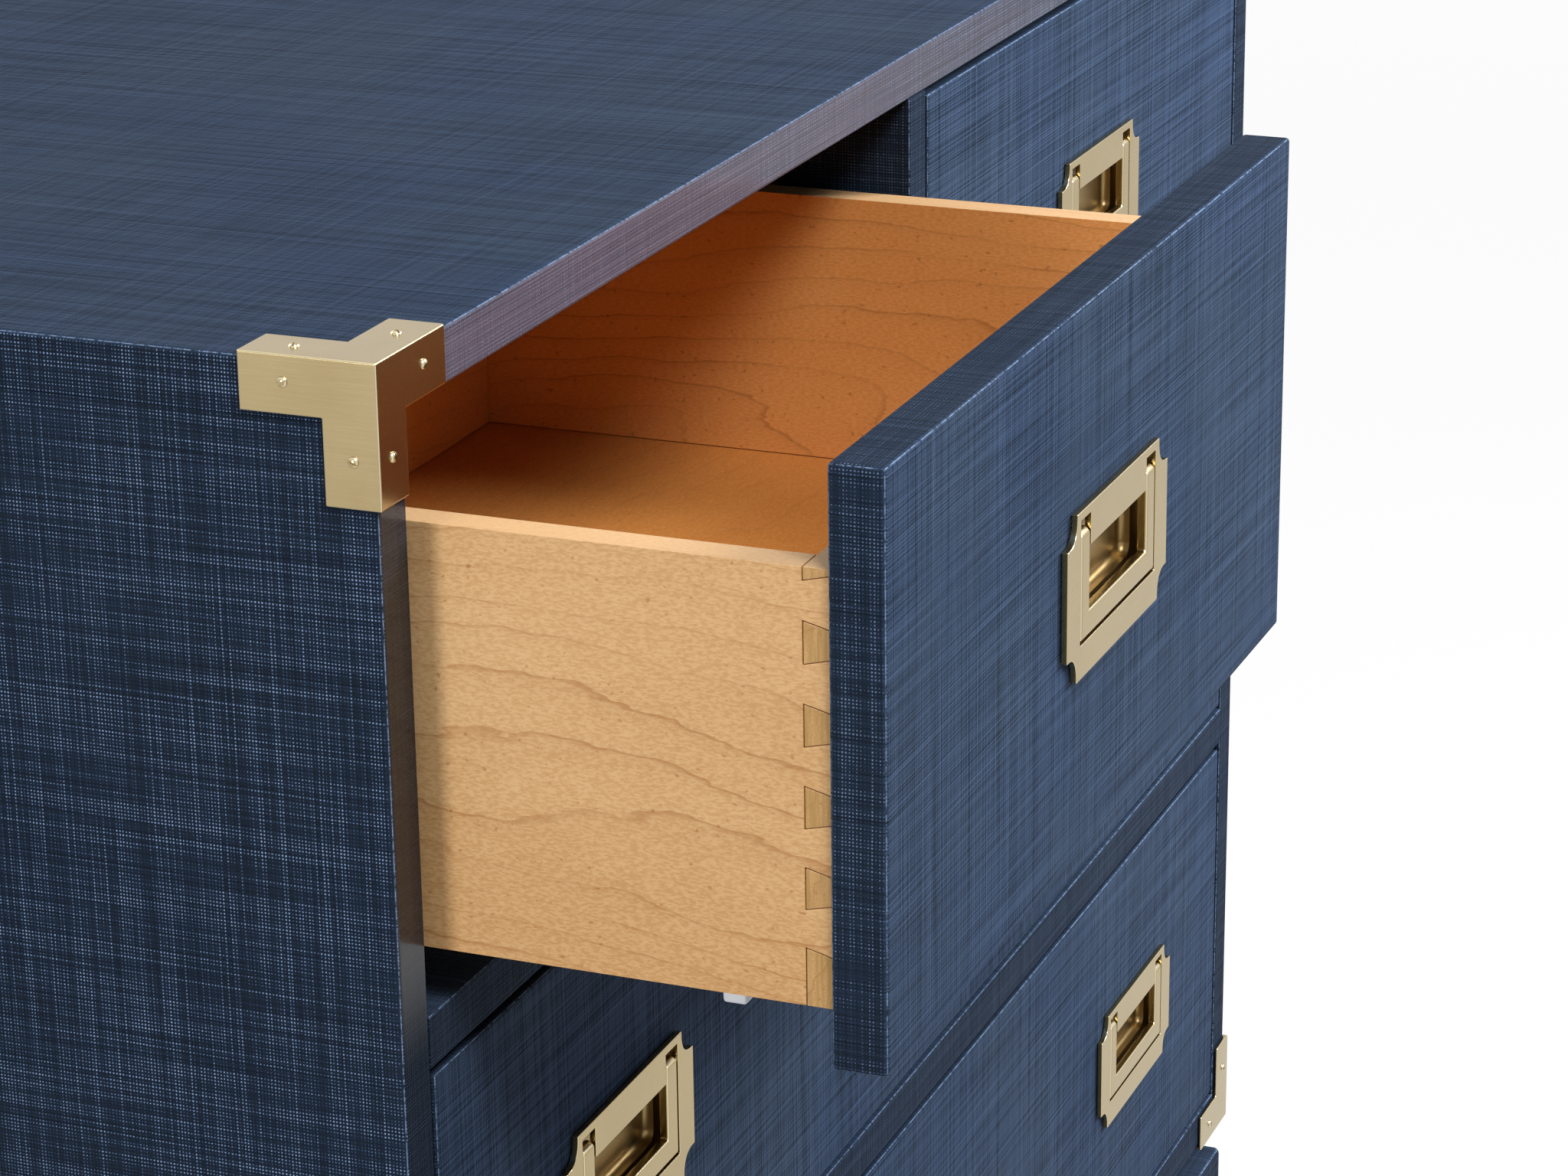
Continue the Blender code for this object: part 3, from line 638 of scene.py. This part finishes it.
# pulls: a flat plate with scooped corners, a pan let in behind it and a bail that lies flush
pullSizes = {
    "width": 0.120, "height": 0.064, "proud": 0.003, "thick": 0.0027, "scoop": 0.0095, "step": 0.0014,
    "edge": 0.00045, "channelHalf": 0.0452, "tongueHalf": 0.0333, "channelFoot": -0.019, "channelTop": 0.0285,
    "tongueFoot": 0.0162, "panHalf": 0.0482, "panFoot": -0.022, "panTop": 0.030, "panFront": -0.0006,
    "panBack": 0.0105, "ledge": 0.0045, "pocket": 0.009, "pocketSide": 0.0085, "pocketCorner": 0.0045,
    "pocketFoot": 0.0028, "reach": 0.01, "longEdge": 0.02, "flat": math.radians(0.5),
}
bailSizes = {"half": 0.044, "foot": -0.0178, "top": 0.0238, "arm": 0.0095, "front": -0.003, "back": 0.0012,
             "edge": 0.0010, "slope": 0.0020, "pivotY": -0.0012, "pivotZ": 0.0212,
             "pinRadius": 0.0013, "pinLength": 0.003, "pinOut": 0.0006, "pinEdge": 0.0002}


def makePlate():      # stands at the pull's centre, with the drawer face at y = 0
    size = pullSizes
    clearSelection()
    bpy.ops.mesh.primitive_plane_add(size=1, location=(0, -size["proud"], 0),
                                     rotation=(math.radians(90), 0, 0))
    bpy.context.object.scale = (size["width"] - 2 * size["step"], size["height"] - 2 * size["step"], 1)
    plate = setPlace(bpy.context.object, "plateModel")
    pick(plate, "VERT", lambda vert: True)
    bpy.ops.mesh.bevel(affect="VERTICES", offset=size["scoop"], segments=10, profile=0.0625)
    leaveEdit()
    for way in ((1, 0), (-1, 0), (0, 1), (0, -1)):      # the straight edges step out past the scoops
        pick(plate, "EDGE", lambda edge: lengthOf(edge) > size["longEdge"] and
             middleOf(edge).x * way[0] + middleOf(edge).z * way[1] > size["longEdge"])
        bpy.ops.mesh.extrude_region_move(TRANSFORM_OT_translate={
            "value": (way[0] * size["step"], 0, way[1] * size["step"])})
        leaveEdit()
    pick(plate, "FACE", lambda face: True)
    bpy.ops.mesh.dissolve_limited(angle_limit=size["flat"])
    leaveEdit()
    applyModifier(plate, "SOLIDIFY", {"thickness": size["thick"], "offset": -1})
    half, inner, reach = size["channelHalf"], size["tongueHalf"], size["reach"]
    cutAway(plate, addBlock("windowCutter", (-half, -reach, size["channelFoot"]),
                            (half, reach, size["tongueFoot"])))
    for low, high in ((-half, -inner), (inner, half)):
        cutAway(plate, addBlock("armCutter", (low, -reach, 0), (high, reach, size["channelTop"])))
    easeEdges(plate, size["edge"], 3)
    pick(plate, "FACE", lambda face: True)
    bpy.ops.mesh.dissolve_degenerate(threshold=sameSpot)      # slivers left where bevels meet
    leaveEdit()
    pan = addBlock("panModel", (-size["panHalf"], size["panFront"], size["panFoot"]),
                   (size["panHalf"], size["panBack"], size["panTop"]))
    pick(pan, "FACE", lambda face: face.normal.y < -0.5)
    bpy.ops.mesh.inset(thickness=size["panHalf"] - half)
    bpy.ops.mesh.extrude_region_move(TRANSFORM_OT_translate={
        "value": (0, size["ledge"] - size["panFront"], 0)})
    bpy.ops.mesh.inset(thickness=size["pocketSide"])
    bpy.ops.mesh.extrude_region_move(TRANSFORM_OT_translate={
        "value": (0, size["pocket"] - size["ledge"], 0)})
    leaveEdit()

    def pocketEdges(edge):
        deep = [size["ledge"] - hair < vert.co.y < size["pocket"] + hair for vert in edge.verts]
        run = edge.verts[1].co - edge.verts[0].co
        return all(deep) and abs(run.y) > 0.002      # the four that run from the ledge to the floor

    bevelEdges(pan, pocketEdges, size["pocketCorner"], 5)
    bevelEdges(pan, lambda edge: all(abs(vert.co.y - size["pocket"]) < hair for vert in edge.verts),
               size["pocketFoot"], 4)
    plate.data.materials.append(pullBrass)
    pan.data.materials.append(panBrass)
    return joinPieces("plateModel", [plate, pan])


def makeBail():
    size = bailSizes
    bail = addBlock("bailModel", (-size["half"], size["front"], size["foot"]),
                    (size["half"], size["back"], size["foot"] + size["arm"]))
    inner = size["half"] - size["arm"]
    pick(bail, "FACE", lambda face: True)
    for place in (-inner, inner):
        bpy.ops.mesh.select_all(action="SELECT")
        bpy.ops.mesh.bisect(plane_co=(place, 0, 0), plane_no=(1, 0, 0))
    leaveEdit()
    pick(bail, "FACE", lambda face: face.normal.z > 0.5 and abs(middleOf(face).x) > inner)
    bpy.ops.mesh.extrude_region_move(TRANSFORM_OT_translate={
        "value": (0, 0, size["top"] - size["foot"] - size["arm"])})
    bpy.ops.mesh.select_all(action="SELECT")
    bpy.ops.mesh.dissolve_limited(angle_limit=flatAngle)
    leaveEdit()

    def armEnds(edge):
        return all(vert.co.y < size["front"] + hair and vert.co.z > size["top"] - hair for vert in edge.verts)

    bevelEdges(bail, armEnds, size["slope"], 1)
    bevelEdges(bail, lambda edge: True, size["edge"], 3)
    pins = [bail]
    for hand in (-1, 1):
        clearSelection()
        bpy.ops.mesh.primitive_cylinder_add(
            vertices=20, radius=size["pinRadius"], depth=size["pinLength"], rotation=(0, math.radians(90), 0),
            location=(hand * (size["half"] + size["pinOut"]), size["pivotY"], size["pivotZ"]))
        pin = setPlace(bpy.context.object, "pin")
        bevelEdges(pin, lambda edge: lengthOf(edge) < size["pinRadius"], size["pinEdge"], 2)
        pins.append(pin)
    return joinPieces("bailModel", pins)


pullOwners = {"top_left": "top_left", "top_right": "top_right", "middle_left": "middle",
              "middle_right": "middle", "bottom_left": "bottom", "bottom_right": "bottom"}


def camelName(node):
    first, *rest = node.split("_")
    return first + "".join(word.title() for word in rest)


def pullCentre(pull):
    low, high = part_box("pull_plate_" + pull)
    return Vector(((low.x + high.x) / 2, low.y + pullSizes["proud"], (low.z + high.z) / 2))


def makePulls():
    plate = makePlate()
    bail = makeBail()
    for pull, drawer in pullOwners.items():
        move = Matrix.Translation(pullCentre(pull))
        finishPiece(copyPiece(plate, camelName(pull) + "Plate", move), None,
                    "drawer_" + drawer, ["pull_plate_" + pull])
        finishPiece(copyPiece(bail, camelName(pull) + "Bail", move), pullBrass,
                    "bail_" + pull, ["pull_bail_" + pull])
    bpy.data.objects.remove(plate)
    bpy.data.objects.remove(bail)
    print("pulls made")


# drawers: wrapped fronts, dovetailed maple boxes, slide channels and catches underneath
frontSizes = {"edge": 0.0017, "segments": 3, "clear": 0.0003}
boxSizes = {"edge": 0.00035}
slideSizes = {"off": 0.0225, "width": 0.012, "thick": 0.0012, "leg": 0.0397, "setBack": 0.084,
              "gap": 0.0001, "edge": 0.0003}
catchSizes = {"width": 0.010, "length": 0.011, "start": 0.036, "inset": 0.001, "foot": 0.0472,
              "taper": (0.85, 0.8, 1), "edge": 0.0012}
drawers = ("top_left", "top_right", "middle", "bottom")


def makeFront(drawer):
    front = addBlock(camelName(drawer) + "Front", *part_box(drawer + "_front"))
    bevelEdges(front, lambda edge: True, frontSizes["edge"], frontSizes["segments"])
    gap = frontSizes["clear"]
    for pull, owner in pullOwners.items():
        if owner == drawer:
            centre = pullCentre(pull)
            half, back = pullSizes["panHalf"] + gap, pullSizes["panBack"] + gap
            low = centre + Vector((-half, -pullSizes["reach"], pullSizes["panFoot"] - gap))
            high = centre + Vector((half, back, pullSizes["panTop"] + gap))
            cutAway(front, addBlock("mortise", low, high))
    finishPiece(front, frontLinen, "drawer_" + drawer, [drawer + "_front"])


def makeBox(drawer):
    for part, finish in (("box_front", frontMaple), ("left_side", leftMaple), ("right_side", rightMaple),
                         ("back", backMaple), ("bottom", bottomMaple)):
        node = drawer + "_" + part
        board = refineNode(node, camelName(node), boxSizes["edge"])
        finishPiece(board, finish, "drawer_" + drawer, [node])


def makeSlides(drawer):
    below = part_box(drawer + "_bottom")[0].z
    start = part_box(drawer + "_box_front")[1].y
    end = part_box(drawer + "_back")[0].y
    for part, hand in (("left_side", 1), ("right_side", -1)):
        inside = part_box(drawer + "_" + part)[1 if hand > 0 else 0].x
        near = inside + hand * slideSizes["off"]
        far = near + hand * slideSizes["width"]
        left, right = min(near, far), max(near, far)
        clearSelection()      # a strip under the drawer's bottom, folded down along its outer edge
        bpy.ops.mesh.primitive_plane_add(size=1, location=(
            (left + right) / 2, (start + slideSizes["setBack"] + end) / 2, below - slideSizes["gap"]))
        bpy.context.object.scale = (right - left, end - start - slideSizes["setBack"], 1)
        name = camelName(drawer) + ("Left" if hand > 0 else "Right")
        channel = setPlace(bpy.context.object, name + "Channel")
        pick(channel, "EDGE", lambda edge: abs(middleOf(edge).x - near) < hair)
        bpy.ops.mesh.extrude_region_move(TRANSFORM_OT_translate={"value": (0, 0, -slideSizes["leg"])})
        bpy.ops.mesh.select_all(action="SELECT")
        bpy.ops.mesh.normals_make_consistent(inside=False)
        leaveEdit()
        upward = channel.data.polygons[0].normal.z > 0
        applyModifier(channel, "SOLIDIFY", {"thickness": slideSizes["thick"],
                                            "offset": -1 if upward else 1})
        easeEdges(channel, slideSizes["edge"], 2)
        finishPiece(channel, zincSteel, "drawer_" + drawer)
        catchLow = start + catchSizes["start"]
        catchLeft = left + catchSizes["inset"]
        block = addBlock(name + "Catch", (catchLeft, catchLow, below - catchSizes["foot"]),
                         (catchLeft + catchSizes["width"], catchLow + catchSizes["length"], below))
        pick(block, "FACE", lambda face: face.normal.z < -0.5)
        bpy.ops.transform.resize(value=catchSizes["taper"])
        leaveEdit()
        bevelEdges(block, lambda edge: True, catchSizes["edge"], 3)
        finishPiece(block, whitePlastic, "drawer_" + drawer)


def makeDrawers():
    for drawer in drawers:
        makeFront(drawer)
        makeBox(drawer)
        makeSlides(drawer)
        print("drawer made:", drawer)


makeCase()
makeCorners()
makePulls()
makeDrawers()


# stage: a pale floor that stays white to the camera and keeps a soft shadow, and studio lamps
stageLook = {"floor": (0.80, 0.80, 0.80, 1), "mottle": (0.7, 0.7, 0.71, 1), "bounce": (0.36, 0.36, 0.36, 1),
             "reach": 40, "fade": (1.6, 7.0), "white": 0.93, "ambient": 0.13}
lamps = {
    "mainLamp": {"place": (-1.6, -1.6, 2.9), "aim": (-0.2, -0.25, 0.6), "size": (0.9, 0.9), "power": 58},
    "leftLamp": {"place": (-3.4, 0.50, 1.25), "aim": (-0.3, -0.3, 0.6), "size": (0.6, 0.9), "power": 46},
    "rightLamp": {"place": (1.25, -1.79, 1.91), "aim": (-0.1, -0.25, 0.6), "size": (0.9, 0.9), "power": 81},
    "topLamp": {"place": (0.2, 0.3, 3.6), "aim": (0, 0, 0.8), "size": (2.0, 2.0), "power": 8},
    "backLamp": {"place": (0.8, 3.0, 2.2), "aim": (0, 0, 0.5), "size": (3.0, 3.0), "power": 38},
}
view = {"place": (-1.6997, -0.8599, 1.2017), "turn": (70.802, 0.692, -68.328), "lens": 100.105}


def whiteToView(tree):      # 1 where a camera, glossy or transmitted ray looks at the background
    light = tree.nodes.new("ShaderNodeLightPath")
    seen = Wire(tree, light.outputs["Is Camera Ray"])
    seen = seen.largest(Wire(tree, light.outputs["Is Glossy Ray"]))
    return seen.largest(Wire(tree, light.outputs["Is Transmission Ray"]))


def makeFloor():
    clearSelection()
    bpy.ops.mesh.primitive_plane_add(size=1, location=(0, 0, 0))
    bpy.context.object.scale = (stageLook["reach"], stageLook["reach"], 1)
    floor = setPlace(bpy.context.object, "floor")
    finish, shader, place, facing = startFinish("paleFloor")
    tree = finish.node_tree
    grain = place.noise((3, 3, 3), 3.0, 0.5)
    seen = whiteToView(tree)
    shown = (grain * 0.1).tint(stageLook["floor"], stageLook["mottle"])
    feed(shader, {"Base Color": seen.tint(stageLook["bounce"], shown), "Roughness": 0.8,
                  "Specular IOR Level": 0.1})
    glow = tree.nodes.new("ShaderNodeEmission")
    away = place.vector("LENGTH", out="Value").smooth(*stageLook["fade"])
    share = seen * (away * (1 - stageLook["white"]) + stageLook["white"])      # whiter far off
    mixed = share.node("ShaderNodeMixShader", {}, {0: share, 1: Wire(tree, shader.outputs[0]),
                                                   2: Wire(tree, glow.outputs[0])})
    tree.links.new(mixed.socket, tree.nodes["Material Output"].inputs["Surface"])
    floor.data.materials.append(finish)


def makeWorld():
    world = bpy.data.worlds.new("studio")
    bpy.context.scene.world = world
    world.use_nodes = True
    tree = world.node_tree
    shade = tree.nodes["Background"]
    shade.inputs["Color"].default_value = (1, 1, 1, 1)
    strength = whiteToView(tree) * (1 - stageLook["ambient"]) + stageLook["ambient"]
    tree.links.new(strength.socket, shade.inputs["Strength"])


def makeLamps():
    for name, look in lamps.items():
        light = bpy.data.lights.new(name, "AREA")
        light.shape = "RECTANGLE"
        light.size, light.size_y = look["size"]
        light.energy = look["power"]
        lamp = bpy.data.objects.new(name, light)
        bpy.context.scene.collection.objects.link(lamp)
        lamp.location = look["place"]
        ray = Vector(look["aim"]) - Vector(look["place"])
        lamp.rotation_euler = ray.to_track_quat("-Z", "Y").to_euler()


def makeCamera():
    lens = bpy.data.cameras.new("camera")
    lens.lens = view["lens"]
    lens.sensor_width = 36
    lens.clip_end = 100
    camera = bpy.data.objects.new("camera", lens)
    bpy.context.scene.collection.objects.link(camera)
    camera.location = view["place"]
    camera.rotation_euler = [math.radians(angle) for angle in view["turn"]]
    bpy.context.scene.camera = camera


makeFloor()
makeWorld()
makeLamps()
makeCamera()
bpy.context.scene.view_settings.view_transform = "Standard"
clearSelection()
print("stage, lamps and camera set")
